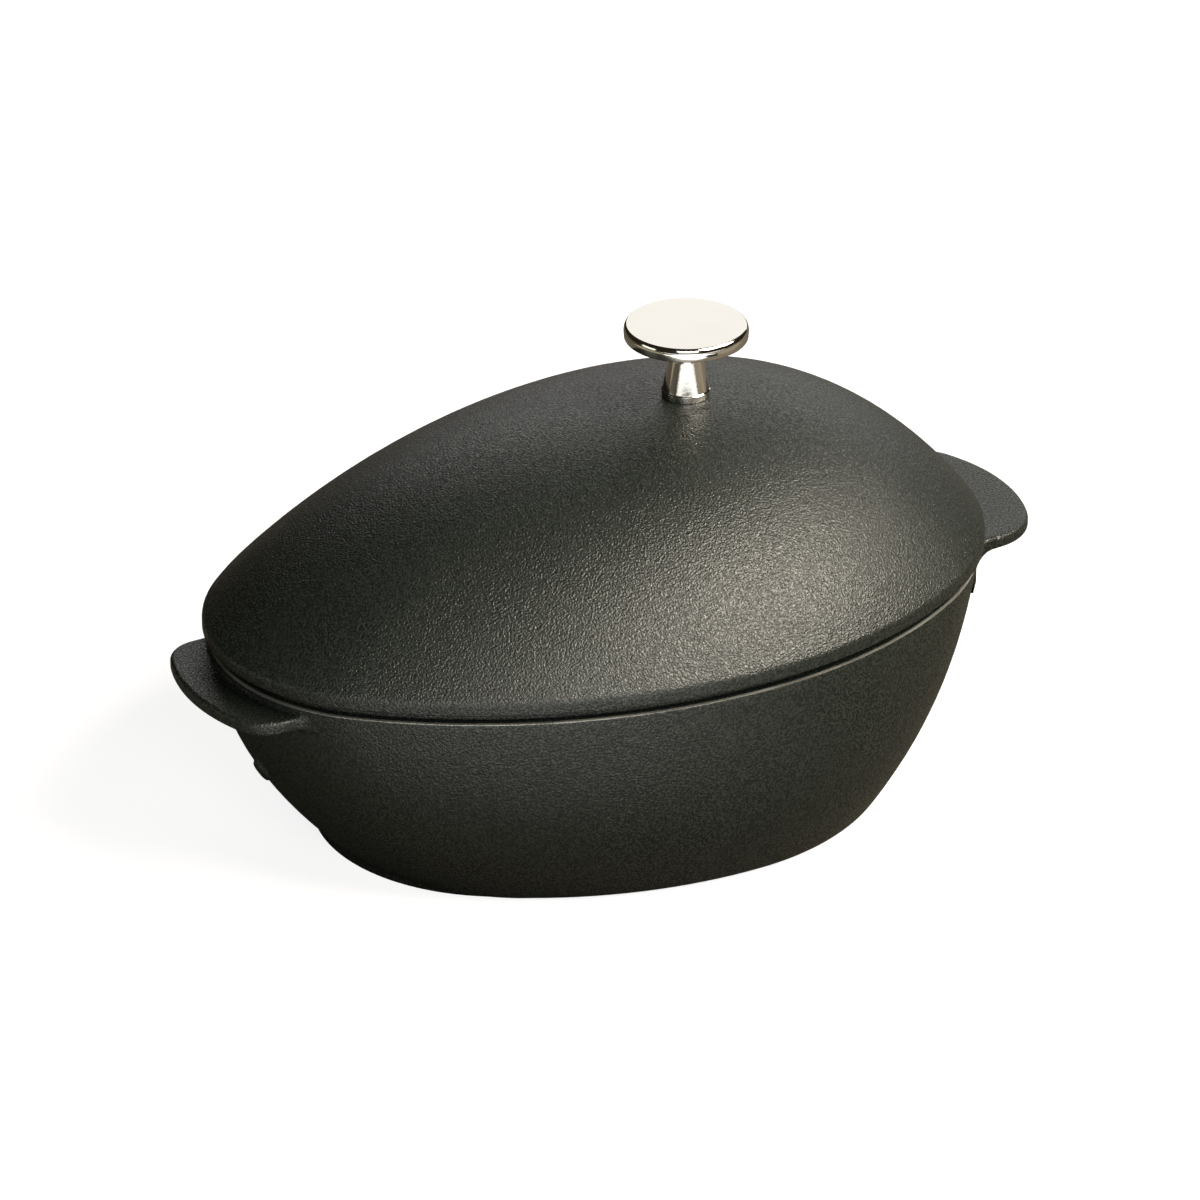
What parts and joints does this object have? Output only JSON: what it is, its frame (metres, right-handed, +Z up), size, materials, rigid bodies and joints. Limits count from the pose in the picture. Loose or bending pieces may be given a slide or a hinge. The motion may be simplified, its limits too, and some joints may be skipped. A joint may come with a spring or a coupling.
{
  "type": "mussel pot",
  "caption": "Egg-shaped mussel pot of matte black enamelled cast iron with tab handles, a domed lift-off lid with a turned metal knob, and a loose perforated strainer inside.",
  "frame": {"origin": "on the table, under the middle of the rim's length and width", "axes": "+X along the rim from the narrow end to the wide end, +Z up, and the pot is the same on both sides of the XZ plane"},
  "size_m": [0.288, 0.1816, 0.1499],
  "materials": {
    "enamel": "matte black enamel, finely pebbled",
    "nickel": "polished nickel plate",
    "steel": "satin stainless steel"
  },
  "bodies": {
    "pot": {"pot_body": "enamel"},
    "lid": {"lid": "enamel", "knob": "nickel", "knob_screw": "steel", "lock_washer": "steel"},
    "strainer": {"strainer": "steel"}
  },
  "joints": [
    {"name": "lid_lift", "type": "slide", "parent": "pot", "child": "lid", "axis": [0, 0, 1], "range_m": [0, 0.15]},
    {"name": "strainer_lift", "type": "slide", "parent": "pot", "child": "strainer", "axis": [0, 0, 1], "range_m": [0, 0.075]}
  ],
  "couplings": [
    {"joint": "strainer_lift", "follows": "lid_lift", "ratio": 0.5}
  ]
}
